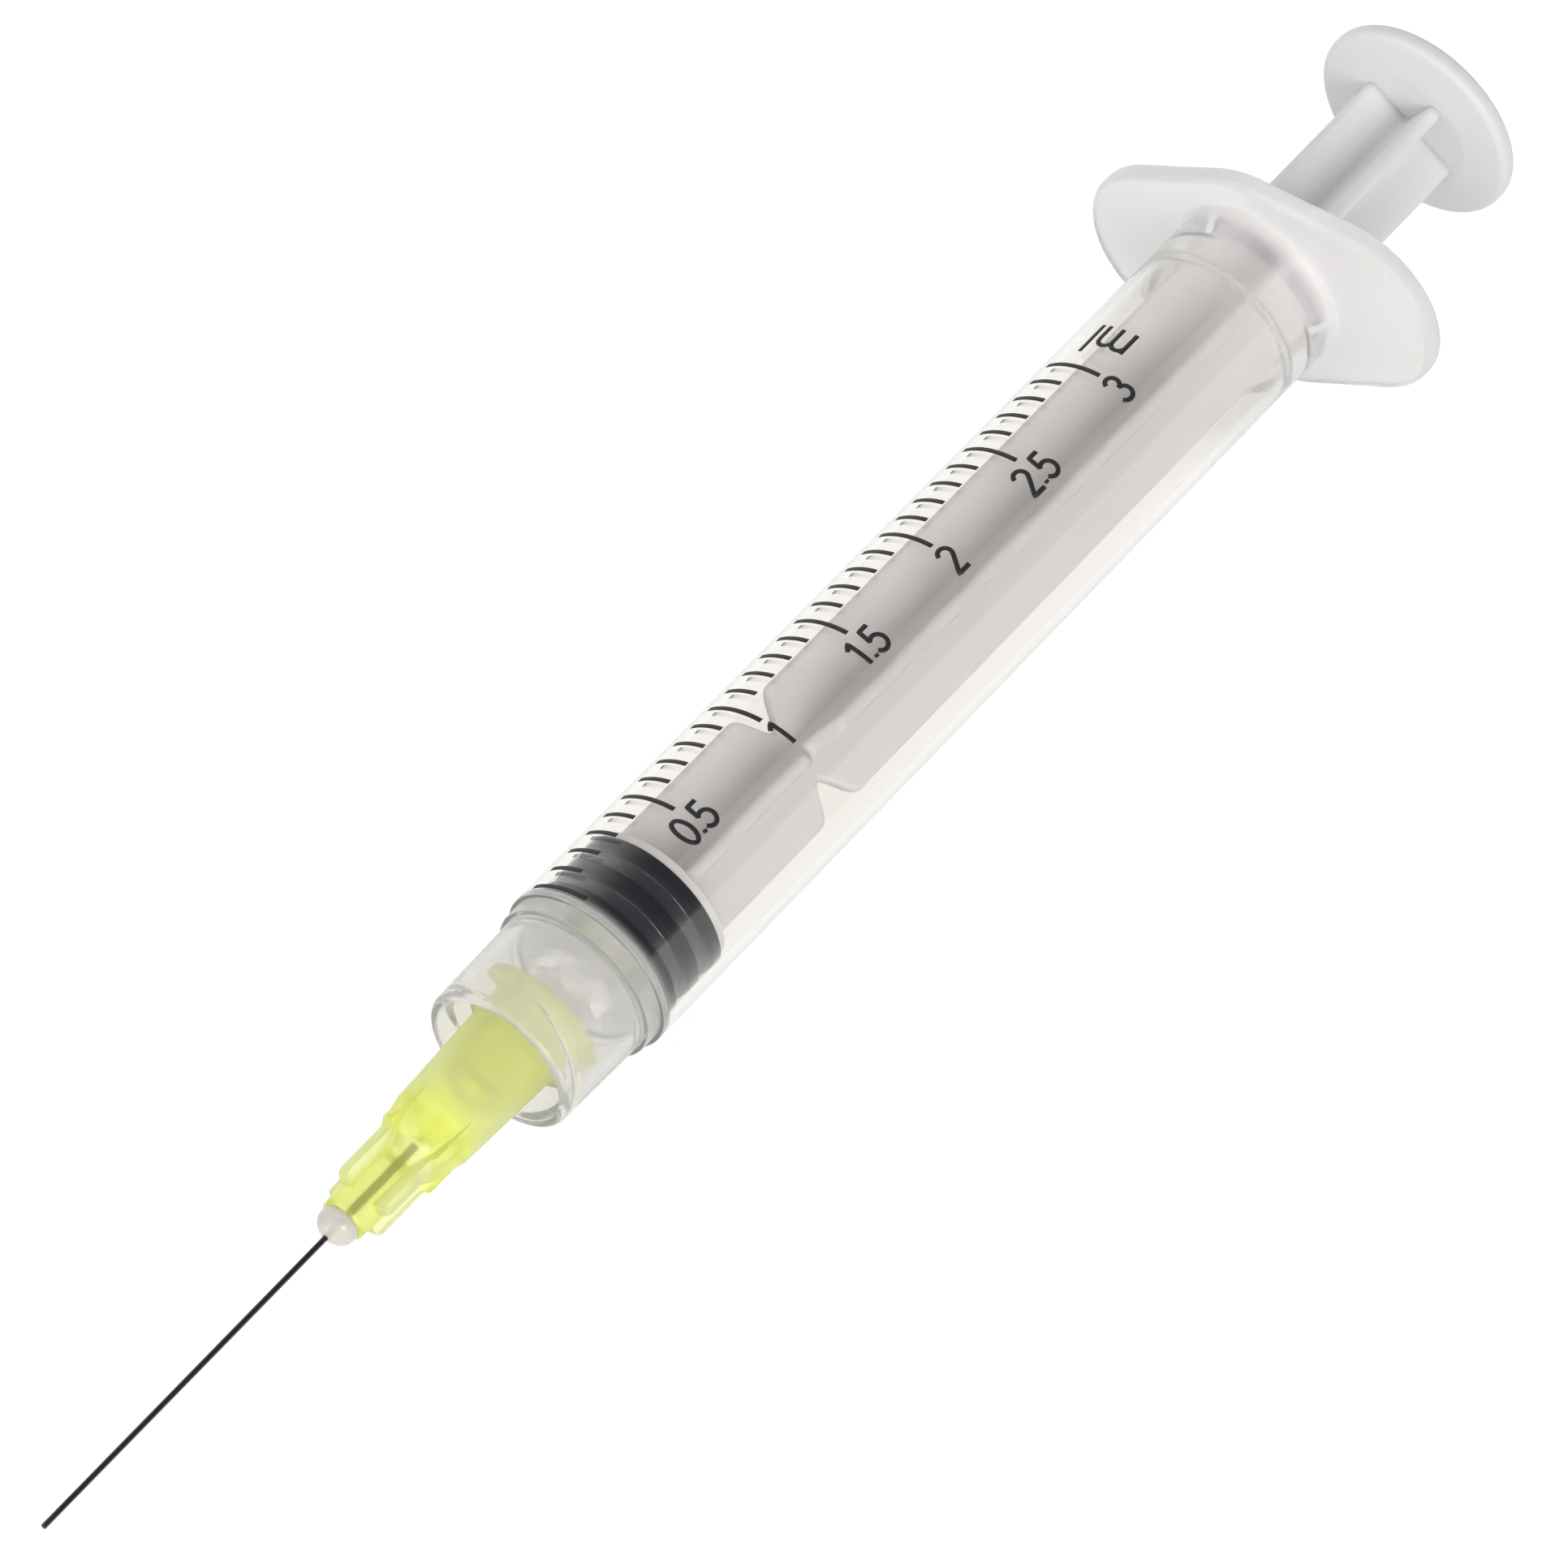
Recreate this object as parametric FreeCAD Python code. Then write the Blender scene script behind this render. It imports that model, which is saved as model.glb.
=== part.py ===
import FreeCAD
import Part
import math
import os

# Irrigation syringe, 3 ml, with a luer-lock needle. Millimetres.
# X runs along the syringe: needle towards -X, thumb rest towards +X.
# Y runs through the finger flange's two lobes and Z points up.
# The origin lies on the barrel's axis, at the needle side of the finger flange.

# Bore and printed scale: 3 ml over scale_length
bore_d = 9.25
scale_length = 44.64
scale_to_flange = 14.01

# Barrel
wall = 0.575
floor_t = 1.45
floor_cone = 0.60
mouth_chamfer = 0.25
shoulder_t = 0.60
shoulder_edge = 0.08
band_step = 0.24
root_t = 1.65

# Stop ring inside the barrel, near the finger flange
stop_depth = 4.3
stop_length = 2.4
stop_h = 0.325

# Finger flange
flange_t = 1.4
flange_length = 23.6
flange_lobe_r = 5.6
flange_mid_r = 7.1
flange_round = 0.5
flange_root = 0.4

# Luer-lock collar around the male cone
collar_bore_d = 8.1
collar_wall = 0.65
collar_depth = 6.60
collar_draft = 0.12
rim_round = 0.35

# Male luer cone, 6 percent taper on the diameter
luer_taper = 0.06
cone_reach = 2.30
cone_tip_d = 3.93
cone_channel_d = 1.8

# Needle hub, its stations measured from the nose
hub_length = 16.20
hub_inset = 3.25
hub_nose_d = 2.6
hub_neck_d = 2.84
hub_neck = 4.45
hub_crown = 7.55
hub_wall = 0.61
crown_wall = 0.54
socket_depth = 8.55
socket_gap = 0.04
funnel_length = 1.25
hub_turn = 8.0

# Four stepped fins on the hub, their stations measured from the nose
fin_count = 4
fin_t = 0.7
fin_front = 1.35
fin_step = 5.25
fin_back = 8.55
fin_low_h = 0.95
fin_high_h = 0.15
fin_round = 0.45

# Two lugs that engage the collar's thread
lug_gap = 0.15
lug_t = 0.85
lug_span = 130.0
lug_turn = 37.0

# Cannula, 30 gauge
cannula_d = 0.31
cannula_bore_d = 0.16
cannula_reach = 24.01
cannula_recess = 0.27

# Glue bead where the cannula leaves the hub
bead_length = 1.25
bead_step = 0.15
bead_tip_wall = 0.095

# Seal
front_gap = 0.10
seal_gap = 0.05
rib_count = 3
rib_w = 0.75
rib_pitch = 1.95
groove_depth = 0.38
seal_nose = 0.60
seal_nose_flat_d = 1.6
head_gap = 0.05

# Plunger rod
head_d = 5.0
neck_d = 3.6
head_length = 1.4
neck_length = 1.3
pusher_t = 0.6
pusher_gap = 0.25
stop_gap = 0.10
web_t = 0.9
web_inset = 0.47
web_turn = 45.0
guide_t = 0.8
guide_gap = 0.08
guide_sunk = 0.2
grip_inset = 0.37
snap_reach = 11.8
snap_half = 1.5
snap_depth = 1.95
snap_round = 1.4

# Thumb rest
grip_length = 12.70
thumb_t = 1.10
thumb_cone = 0.35
thumb_d = 12.5
thumb_round = 0.45

# Derived sizes
bore_r = bore_d / 2
barrel_r = bore_r + wall
capacity_ml = math.pi * bore_r ** 2 * scale_length / 1000
collar_bore_r = collar_bore_d / 2
collar_r = collar_bore_r + collar_wall
rim_r = collar_r - collar_draft
stop_r = bore_r - stop_h
seal_r = bore_r - seal_gap
pusher_r = bore_r - pusher_gap
guide_r = stop_r - guide_gap
web_half = guide_r - web_inset
grip_half = web_half - grip_inset
lug_r = collar_bore_r - lug_gap
hub_nose_r = hub_nose_d / 2
hub_neck_r = hub_neck_d / 2

# Derived stations along X
seal_front_x = -scale_to_flange - scale_length
bore_floor_x = seal_front_x - front_gap
collar_floor_x = bore_floor_x - floor_t
rim_x = collar_floor_x - collar_depth
cone_tip_x = rim_x - cone_reach
stop_x = -stop_depth
hub_back_x = rim_x + hub_inset
hub_nose_x = hub_back_x - hub_length
socket_end_x = hub_back_x - socket_depth
cannula_back_x = socket_end_x - funnel_length - cannula_recess
cannula_tip_x = hub_nose_x - cannula_reach
seal_back_x = seal_front_x + rib_w + (rib_count - 1) * rib_pitch
pusher_back_x = seal_back_x + pusher_t
snap_x = pusher_back_x + snap_reach
guide_x = flange_t - guide_sunk
thumb_x = flange_t + grip_length
travel = stop_x - stop_gap - pusher_back_x

X = FreeCAD.Vector(1, 0, 0)
ORIGIN = FreeCAD.Vector(0, 0, 0)


def point(x, y):
    return FreeCAD.Vector(x, y, 0)


def outline(corners):
    # Closed wire through (x, y) or (x, y, radius) corners, lines joined by arcs
    n = len(corners)
    starts = []
    ends = []
    mids = []
    for i in range(n):
        before = corners[i - 1]
        here = corners[i]
        after = corners[(i + 1) % n]
        c = point(here[0], here[1])
        r = here[2] if len(here) > 2 else 0
        if r == 0:
            starts.append(c)
            ends.append(c)
            mids.append(None)
            continue
        a = point(before[0], before[1]).sub(c).normalize()
        b = point(after[0], after[1]).sub(c).normalize()
        half = a.getAngle(b) / 2
        reach = r / math.tan(half)
        middle = a.add(b).normalize()
        starts.append(c.add(FreeCAD.Vector(a).multiply(reach)))
        ends.append(c.add(FreeCAD.Vector(b).multiply(reach)))
        mids.append(c.add(middle.multiply(r / math.sin(half) - r)))
    edges = []
    for i in range(n):
        if mids[i] is not None:
            edges.append(Part.Arc(starts[i], mids[i], ends[i]).toShape())
        nxt = starts[(i + 1) % n]
        if ends[i].distanceToPoint(nxt) > 1e-6:
            edges.append(Part.makeLine(ends[i], nxt))
    return Part.Wire(edges)


def turned(corners):
    # Solid of revolution about X from corners given as (x, radius)
    face = Part.Face(outline(corners))
    return face.revolve(ORIGIN, X, 360)


def disc(x, r, t):
    # Flat disc about X from station x, with its two edges chamfered
    c = t / 6
    return turned([(x, 0), (x, r - c), (x + c, r), (x + t - c, r), (x + t, r - c), (x + t, 0)])


def about_x(shape, degrees):
    turned_copy = shape.copy()
    turned_copy.rotate(ORIGIN, X, degrees)
    return turned_copy


def plate(corners, thickness):
    # Flat plate in the XY plane, centred on it
    face = Part.Face(outline(corners))
    face.translate(FreeCAD.Vector(0, 0, -thickness / 2))
    return face.extrude(FreeCAD.Vector(0, 0, thickness))


def luer_r(x):
    # Radius of the male cone at station x
    return cone_tip_d / 2 + (x - cone_tip_x) * luer_taper / 2


def tube():
    stop_ramp = stop_h * 2.4
    stop_step = stop_h * 0.6
    root_x = bore_floor_x - root_t
    shoulder_x = bore_floor_x - shoulder_t
    band_r = barrel_r - band_step
    channel_r = cone_channel_d / 2
    flange_root_r = barrel_r + flange_root * 1.5
    return turned([
        (cone_tip_x, channel_r),
        (cone_tip_x, luer_r(cone_tip_x), 0.25),
        (collar_floor_x, luer_r(collar_floor_x)),
        (collar_floor_x, collar_bore_r, 0.3),
        (rim_x, collar_bore_r),
        (rim_x, rim_r, rim_round),
        (root_x, collar_r),
        (root_x, band_r - shoulder_edge),
        (root_x + shoulder_edge, band_r),
        (shoulder_x, band_r),
        (shoulder_x, barrel_r - shoulder_edge),
        (shoulder_x + shoulder_edge, barrel_r),
        (0, barrel_r, flange_root),
        (0, flange_root_r),
        (flange_t, flange_root_r),
        (flange_t, bore_r + mouth_chamfer),
        (flange_t - mouth_chamfer, bore_r),
        (stop_x + stop_length, bore_r),
        (stop_x + stop_length - stop_step, stop_r),
        (stop_x + stop_ramp, stop_r),
        (stop_x, bore_r),
        (bore_floor_x, bore_r),
        (bore_floor_x - floor_cone, channel_r),
    ])


def flange():
    # Two round lobes and a round middle, joined by tangent straight sides
    far = flange_length / 2 - flange_lobe_r
    lean = math.asin((flange_mid_r - flange_lobe_r) / far)
    c = math.cos(lean)
    s = math.sin(lean)
    edges = []
    for side in (1, -1):
        up = FreeCAD.Vector(0, side * flange_mid_r * s, side * flange_mid_r * c)
        lobe = FreeCAD.Vector(0, side * (far + flange_lobe_r * s), side * flange_lobe_r * c)
        tip = FreeCAD.Vector(0, side * flange_length / 2, 0)
        low = FreeCAD.Vector(0, side * (far + flange_lobe_r * s), -side * flange_lobe_r * c)
        mid = FreeCAD.Vector(0, side * flange_mid_r * s, -side * flange_mid_r * c)
        bottom = FreeCAD.Vector(0, 0, -side * flange_mid_r)
        nxt = FreeCAD.Vector(0, -side * flange_mid_r * s, -side * flange_mid_r * c)
        edges.append(Part.makeLine(up, lobe))
        edges.append(Part.Arc(lobe, tip, low).toShape())
        edges.append(Part.makeLine(low, mid))
        edges.append(Part.Arc(mid, bottom, nxt).toShape())
    blank = Part.Face(Part.Wire(edges)).extrude(FreeCAD.Vector(flange_t, 0, 0))
    rims = [e for e in blank.Edges if abs(e.BoundBox.XLength) < 1e-6]
    blank = blank.makeFillet(flange_round, rims)
    hole_r = bore_r + mouth_chamfer + wall / 4
    hole = Part.makeCylinder(hole_r, flange_t * 3, point(-flange_t, 0), X)
    return blank.cut(hole)


def barrel():
    return tube().fuse(flange()).removeSplitter()


def plunger_rod():
    neck = web_half - snap_depth
    guide_middle_x = guide_x + guide_t / 2
    overlap = thumb_cone / 3
    top = [
        (pusher_back_x - overlap, web_half, 0),
        (snap_x - snap_half, web_half, snap_round),
        (snap_x, neck, 0.15),
        (snap_x + snap_half, web_half, snap_round),
        (guide_middle_x, web_half, 0),
        (guide_middle_x, grip_half, 0),
        (thumb_x + overlap, grip_half, 0),
    ]
    bottom = [(x, -y, r) for x, y, r in reversed(top)]
    web = plate(top + bottom, web_t)
    shape = about_x(web, web_turn)
    shape = shape.fuse(about_x(web, web_turn + 90))
    shape = shape.fuse(head())
    shape = shape.fuse(disc(guide_x, guide_r, guide_t))
    shape = shape.fuse(turned([
        (thumb_x, 0),
        (thumb_x, grip_half + thumb_cone, thumb_round * 2),
        (thumb_x + thumb_cone, thumb_d / 2, thumb_round),
        (thumb_x + thumb_cone + thumb_t, thumb_d / 2, thumb_round),
        (thumb_x + thumb_cone + thumb_t, 0),
    ]))
    return shape.removeSplitter()


def head_profile(gap):
    # Mushroom head and neck, grown by gap all round
    neck_x = seal_back_x - neck_length
    tip_x = neck_x - head_length
    head_r = head_d / 2 + gap
    neck_r = neck_d / 2 + gap
    chamfer = head_length / 3
    return [
        (tip_x - gap, 0),
        (tip_x - gap, head_r - chamfer),
        (tip_x - gap + chamfer, head_r),
        (neck_x + gap, head_r),
        (neck_x + gap, neck_r),
        (seal_back_x, neck_r),
        (seal_back_x, 0),
    ]


def head():
    return turned(head_profile(0)).fuse(disc(seal_back_x, pusher_r, pusher_t))


def seal():
    groove_r = seal_r - groove_depth
    slope = groove_depth / 2
    corners = [
        (seal_front_x - seal_nose, 0),
        (seal_front_x - seal_nose, seal_nose_flat_d / 2),
        (seal_front_x, seal_r, 0.15),
    ]
    for i in range(rib_count - 1):
        rib_back_x = seal_front_x + i * rib_pitch + rib_w
        next_x = seal_front_x + (i + 1) * rib_pitch
        corners.append((rib_back_x, seal_r))
        corners.append((rib_back_x + slope, groove_r))
        corners.append((next_x - slope, groove_r))
        corners.append((next_x, seal_r))
    corners.append((seal_back_x, seal_r, 0.15))
    corners.append((seal_back_x, 0))
    return turned(corners).cut(turned(head_profile(head_gap)))


def needle_hub():
    neck_x = hub_nose_x + hub_neck
    crown_x = hub_nose_x + hub_crown
    mouth_r = luer_r(hub_back_x) + socket_gap
    end_r = mouth_r - socket_depth * luer_taper / 2
    hole_r = cannula_d / 2
    back_r = mouth_r + hub_wall
    crown_r = end_r + crown_wall
    nose_r = hub_nose_r - bead_step
    swell_x = neck_x + (crown_x - neck_x) * 0.37
    swell_r = hub_neck_r + (crown_r - hub_neck_r) * 0.56
    body = Part.Face(Part.Wire([
        Part.makeLine(point(hub_nose_x, 0), point(hub_nose_x, nose_r)),
        Part.makeLine(point(hub_nose_x, nose_r), point(hub_nose_x + bead_step, hub_nose_r)),
        Part.makeLine(point(hub_nose_x + bead_step, hub_nose_r), point(neck_x, hub_neck_r)),
        Part.Arc(
            point(neck_x, hub_neck_r),
            point(swell_x, swell_r),
            point(crown_x, crown_r),
        ).toShape(),
        Part.makeLine(point(crown_x, crown_r), point(hub_back_x, back_r)),
        Part.makeLine(point(hub_back_x, back_r), point(hub_back_x, 0)),
        Part.makeLine(point(hub_back_x, 0), point(hub_nose_x, 0)),
    ])).revolve(ORIGIN, X, 360)
    low = hub_nose_r + fin_low_h
    high = crown_r + fin_high_h
    inner = nose_r / 2
    step_x = hub_nose_x + fin_step
    fin = plate([
        (hub_nose_x + fin_front, inner),
        (hub_nose_x + fin_front, low, fin_round),
        (step_x - fin_high_h, low, 0.12),
        (step_x + fin_high_h, high, 0.2),
        (hub_nose_x + fin_back - fin_round, high, 0.3),
        (hub_nose_x + fin_back, crown_r - fin_high_h),
        (hub_nose_x + fin_back, inner),
    ], fin_t)
    # The plate lies in XY with its height along +Y; the first fin starts near -Y
    for i in range(fin_count):
        body = body.fuse(about_x(fin, 180 - hub_turn - i * 360 / fin_count))
    inside_r = back_r - hub_wall / 2
    ring = Part.Face(outline([
        (hub_back_x - lug_t, inside_r),
        (hub_back_x - lug_t, lug_r, 0.15),
        (hub_back_x, lug_r, 0.15),
        (hub_back_x, inside_r),
    ]))
    for i in range(2):
        lug = ring.revolve(ORIGIN, X, lug_span)
        middle = 180 - hub_turn - lug_turn + i * 180
        body = body.fuse(about_x(lug, middle - lug_span / 2))
    socket = turned([
        (hub_nose_x - 1, 0),
        (hub_nose_x - 1, hole_r),
        (socket_end_x - funnel_length, hole_r),
        (socket_end_x, end_r),
        (hub_back_x, mouth_r),
        (hub_back_x + 1, mouth_r),
        (hub_back_x + 1, 0),
    ])
    return body.removeSplitter().cut(socket)


def cannula():
    r = cannula_d / 2
    hole_r = cannula_bore_d / 2
    edge = (r - hole_r) / 2
    return turned([
        (cannula_tip_x, hole_r),
        (cannula_tip_x, r - edge),
        (cannula_tip_x + edge, r),
        (cannula_back_x, r),
        (cannula_back_x, hole_r),
    ])


def glue_bead():
    base_r = hub_nose_r - bead_step
    hole_r = cannula_d / 2
    tip_r = hole_r + bead_tip_wall
    tip_x = hub_nose_x - bead_length
    middle_x = hub_nose_x - bead_length * 0.6
    middle_r = (base_r + tip_r) / 2 + bead_step
    face = Part.Face(Part.Wire([
        Part.makeLine(point(hub_nose_x, hole_r), point(tip_x, hole_r)),
        Part.makeLine(point(tip_x, hole_r), point(tip_x, tip_r)),
        Part.Arc(
            point(tip_x, tip_r),
            point(middle_x, middle_r),
            point(hub_nose_x, base_r),
        ).toShape(),
        Part.makeLine(point(hub_nose_x, base_r), point(hub_nose_x, hole_r)),
    ]))
    return face.revolve(ORIGIN, X, 360)


os.makedirs("parts", exist_ok=True)
parts = {
    "barrel": barrel(),
    "plunger_rod": plunger_rod(),
    "seal": seal(),
    "needle_hub": needle_hub(),
    "cannula": cannula(),
    "glue_bead": glue_bead(),
}
for name, shape in parts.items():
    solids = shape.Solids
    if len(solids) != 1 or not shape.isValid():
        raise ValueError(name + " is not one sound solid")
    solids[0].exportStep("parts/" + name + ".step")
    box = solids[0].BoundBox
    span = [round(v, 2) for v in (box.XMin, box.XMax, box.YMin, box.YMax, box.ZMin, box.ZMax)]
    print(name, round(solids[0].Volume, 2), span)
print("plunger travel", round(travel, 2), "volume over the scale in ml", round(capacity_ml, 3))
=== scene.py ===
import bpy
import numpy as np
from mathutils import Matrix


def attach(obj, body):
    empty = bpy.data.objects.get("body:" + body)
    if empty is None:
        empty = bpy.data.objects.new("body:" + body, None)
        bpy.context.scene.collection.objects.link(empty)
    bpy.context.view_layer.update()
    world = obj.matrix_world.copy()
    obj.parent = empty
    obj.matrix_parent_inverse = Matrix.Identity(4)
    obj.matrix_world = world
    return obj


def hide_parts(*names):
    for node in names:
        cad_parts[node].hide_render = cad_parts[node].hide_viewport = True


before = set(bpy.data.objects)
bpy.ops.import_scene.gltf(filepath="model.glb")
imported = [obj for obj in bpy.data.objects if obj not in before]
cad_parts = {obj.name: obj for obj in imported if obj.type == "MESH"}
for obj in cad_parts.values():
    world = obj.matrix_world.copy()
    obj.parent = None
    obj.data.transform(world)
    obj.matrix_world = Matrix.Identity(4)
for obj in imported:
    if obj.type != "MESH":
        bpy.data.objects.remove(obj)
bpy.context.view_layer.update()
print("frame: loaded", len(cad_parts), "nodes")

# Lengths are written in millimetres along the syringe's own axes and turned to metres in meshPiece.
# X runs from the needle to the thumb rest, and angles about X start at -Y and pass through +Z.


def gridFaces(rows, columns, wrapRows=False):
    # Each quad joins point (i, j) to (i, j+1), (i+1, j+1) and (i+1, j); the columns close into a ring
    i = np.arange(rows if wrapRows else rows - 1)[:, None]
    j = np.arange(columns)[None, :]
    here, there = i * columns, (i + 1) % rows * columns
    nextJ = (j + 1) % columns
    return np.stack([here + j, here + nextJ, there + nextJ, there + j], -1).reshape(-1, 4)


def closedGrid(points, wrapRows=False):
    # A tube of points (rows, columns, 3) with a flat cap on each end, or joined end to end.
    # Its faces point outwards: the sum of corner . (next x opposite) over the quads is its volume's sign.
    rows, columns = points.shape[:2]
    quads = gridFaces(rows, columns, wrapRows)
    caps = [] if wrapRows else [np.arange(columns)[::-1], np.arange(columns) + (rows - 1) * columns]
    points = points.reshape(-1, 3)
    centred = points - points.mean(axis=0)
    a, b, c, d = (centred[quads[:, k]] for k in range(4))
    volume = np.sum(a * np.cross(b, c)) + np.sum(a * np.cross(c, d))
    if volume < 0:
        quads = quads[:, ::-1]
        caps = [cap[::-1] for cap in caps]
    return {"points": points, "quads": quads, "caps": caps}


def meshPiece(name, shells, body, material, nodes=()):
    # Joins the closed shells into one mesh in metres and lets it ride on its body
    offset = 0
    points, loops, sizes = [], [], []
    for shell in shells:
        points.append(shell["points"])
        loops.append((shell["quads"] + offset).ravel())
        sizes.append(np.full(len(shell["quads"]), 4))
        for cap in shell["caps"]:
            loops.append(cap + offset)
            sizes.append(np.array([len(cap)]))
        offset += len(shell["points"])
    points = np.concatenate(points) * 0.001
    loops = np.concatenate(loops).astype(np.int32)
    sizes = np.concatenate(sizes).astype(np.int32)
    mesh = bpy.data.meshes.new(name)
    mesh.vertices.add(len(points))
    mesh.vertices.foreach_set("co", points.astype(np.float32).ravel())
    mesh.loops.add(len(loops))
    mesh.loops.foreach_set("vertex_index", loops)
    mesh.polygons.add(len(sizes))
    mesh.polygons.foreach_set("loop_start", (np.cumsum(sizes) - sizes).astype(np.int32))
    mesh.polygons.foreach_set("use_smooth", np.ones(len(sizes), bool))
    mesh.update(calc_edges=True)
    mesh.validate()
    mesh.materials.append(material)
    piece = bpy.data.objects.new(name, mesh)
    bpy.context.scene.collection.objects.link(piece)
    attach(piece, body)
    if nodes:
        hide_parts(*nodes)
    print("piece:", name, len(points), "points,", len(sizes), "faces")
    return piece


def roundedPath(corners, step=0.3, arcSteps=6):
    # Dense path through (x, r) or (x, r, rounding) corners: straight runs cut every step, corners as arcs
    corners = [tuple(c) + (0.0,) * (3 - len(c)) for c in corners]
    path = [np.array([corners[0][:2]])]
    for before, here, after in zip(corners[:-2], corners[1:-1], corners[2:]):
        c, rounding = np.array(here[:2]), here[2]
        if rounding == 0:
            path.append(c[None, :])
            continue
        a = np.array(before[:2]) - c
        b = np.array(after[:2]) - c
        a = a / np.linalg.norm(a)
        b = b / np.linalg.norm(b)
        half = np.arccos(np.clip(a @ b, -1, 1)) / 2
        centre = c + (a + b) / np.linalg.norm(a + b) * rounding / np.sin(half)
        start = c + a * rounding / np.tan(half) - centre
        end = c + b * rounding / np.tan(half) - centre
        turn = np.arctan2(start[0] * end[1] - start[1] * end[0], start @ end)
        t = np.linspace(0, 1, arcSteps + 1)[:, None] * turn
        arc = np.hstack([start[0] * np.cos(t) - start[1] * np.sin(t), start[0] * np.sin(t) + start[1] * np.cos(t)])
        path.append(centre + arc)
    path.append(np.array([corners[-1][:2]]))
    path = np.concatenate(path)
    length = np.linalg.norm(np.diff(path, axis=0), axis=1)
    counts = np.maximum(1, np.ceil(length / step).astype(int))
    pieces = [path[k] + (path[k + 1] - path[k]) * (np.arange(n) / n)[:, None] for k, n in enumerate(counts)]
    return np.concatenate(pieces + [path[-1:]])


def creased(path, gap=0.03):
    # Adds a point just before and after each sharp corner, so that smooth shading turns only there
    run = np.diff(path, axis=0)
    length = np.linalg.norm(run, axis=1)
    unit = run / length[:, None]
    sharp = np.zeros(len(path), bool)
    sharp[1:-1] = np.sum(unit[1:] * unit[:-1], axis=1) < np.cos(np.radians(25))
    keep = [path[0]]
    for k in range(1, len(path) - 1):
        if sharp[k]:
            keep.append(path[k] - unit[k - 1] * min(gap, length[k - 1] * 0.4))
            keep.append(path[k])
            keep.append(path[k] + unit[k] * min(gap, length[k] * 0.4))
        else:
            keep.append(path[k])
    keep.append(path[-1])
    return np.array(keep)


def aboutAxis(x, radius, angle):
    # Point at station x, radius away from the axis: y = -radius cos(angle), z = radius sin(angle)
    x, radius, angle = np.broadcast_arrays(x, radius, angle)
    return np.stack([x, -radius * np.cos(angle), radius * np.sin(angle)], -1)


def turnedShell(path, count, wrapRows=False):
    # Surface of revolution: every path point (x, r) goes round the axis
    angle = np.arange(count) * 2 * np.pi / count
    return closedGrid(aboutAxis(path[:, :1], path[:, 1:], angle[None, :]), wrapRows)


def smoothStep(low, high, value):
    t = np.clip((value - low) / (high - low), 0, 1)
    return t * t * (3 - 2 * t)


def softLess(a, b, blend):
    # The smaller of a and b, rounded over the length blend where they cross
    h = np.clip(0.5 + 0.5 * (b - a) / blend, 0, 1)
    return b + (a - b) * h - blend * h * (1 - h)


def softMore(a, b, blend):
    return -softLess(-a, -b, blend)


class Wire:
    # One output socket of a material, so that shader maths reads as a formula
    def __init__(self, tree, socket=None):
        self.tree = tree
        self.socket = socket

    def node(self, kind, settings=None, inputs=None, output=0):
        # Adds any node: its settings first, then the values or links of its sockets
        made = self.tree.nodes.new(kind)
        for key, value in (settings or {}).items():
            setattr(made, key, value)
        for key, value in (inputs or {}).items():
            if isinstance(value, Wire):
                self.tree.links.new(value.socket, made.inputs[key])
            else:
                made.inputs[key].default_value = value
        return Wire(self.tree, made.outputs[output] if len(made.outputs) else None)

    def maths(self, operation, first, second=None):
        inputs = {0: first} if second is None else {0: first, 1: second}
        return self.node("ShaderNodeMath", {"operation": operation}, inputs)

    def __add__(self, other):
        return self.maths("ADD", self, other)

    def __radd__(self, other):
        return self.maths("ADD", other, self)

    def __rsub__(self, other):
        return self.maths("SUBTRACT", other, self)

    def __mul__(self, other):
        return self.maths("MULTIPLY", self, other)

    def __rmul__(self, other):
        return self.maths("MULTIPLY", other, self)


def newMaterial(name):
    material = bpy.data.materials.new(name)
    material.use_nodes = True
    material.node_tree.nodes.clear()
    return material, Wire(material.node_tree)


def linear(red, green, blue):
    # Shader colour from the 0 to 255 value seen on screen
    value = np.array([red, green, blue]) / 255
    return (*np.where(value < 0.04045, value / 12.92, ((value + 0.055) / 1.055) ** 2.4).tolist(), 1)


def plasticSurface(bench, look):
    # Moulded skin: a fine noise moves the roughness, and a broader one gives the faint ripple and tone
    place = bench.node("ShaderNodeTexCoord", output="Object")
    fine = bench.node("ShaderNodeTexNoise", inputs={"Vector": place, "Scale": look["fineScale"], "Detail": 3.0})
    broad = bench.node("ShaderNodeTexNoise", inputs={"Vector": place, "Scale": look["broadScale"], "Detail": 1.0})
    tone = bench.node(
        "ShaderNodeMix", {"data_type": "RGBA"},
        {"Factor": broad, 6: look["colour"], 7: look["otherColour"]}, 2)
    # An optional zone mixes in zoneColour: painted shade near the barrel's flange, paler thin parts on the hub
    if "zone" in look:
        tone = bench.node(
            "ShaderNodeMix", {"data_type": "RGBA"},
            {"Factor": look["zone"](bench), 6: tone, 7: look["zoneColour"]}, 2)
    relief = bench.node(
        "ShaderNodeBump", inputs={"Strength": look["bump"], "Distance": 0.0001, "Height": fine + broad})
    return bench.node("ShaderNodeBsdfPrincipled", inputs={
        "Base Color": tone,
        "Roughness": look["roughness"] + fine * look["roughnessSpread"],
        "Normal": relief,
        "IOR": look["ior"],
        "Transmission Weight": look["transmission"],
        "Specular IOR Level": look["specular"],
    })


def alongSyringe(bench, low, high, first, last):
    # A value that eases from first to last as X goes from low to high millimetres
    place = bench.node("ShaderNodeTexCoord", output="Object")
    x = bench.node("ShaderNodeSeparateXYZ", inputs={"Vector": place})
    return bench.node("ShaderNodeMapRange", {"interpolation_type": "SMOOTHSTEP"}, {
        0: x, 1: low * 0.001, 2: high * 0.001, 3: first, 4: last})


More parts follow.
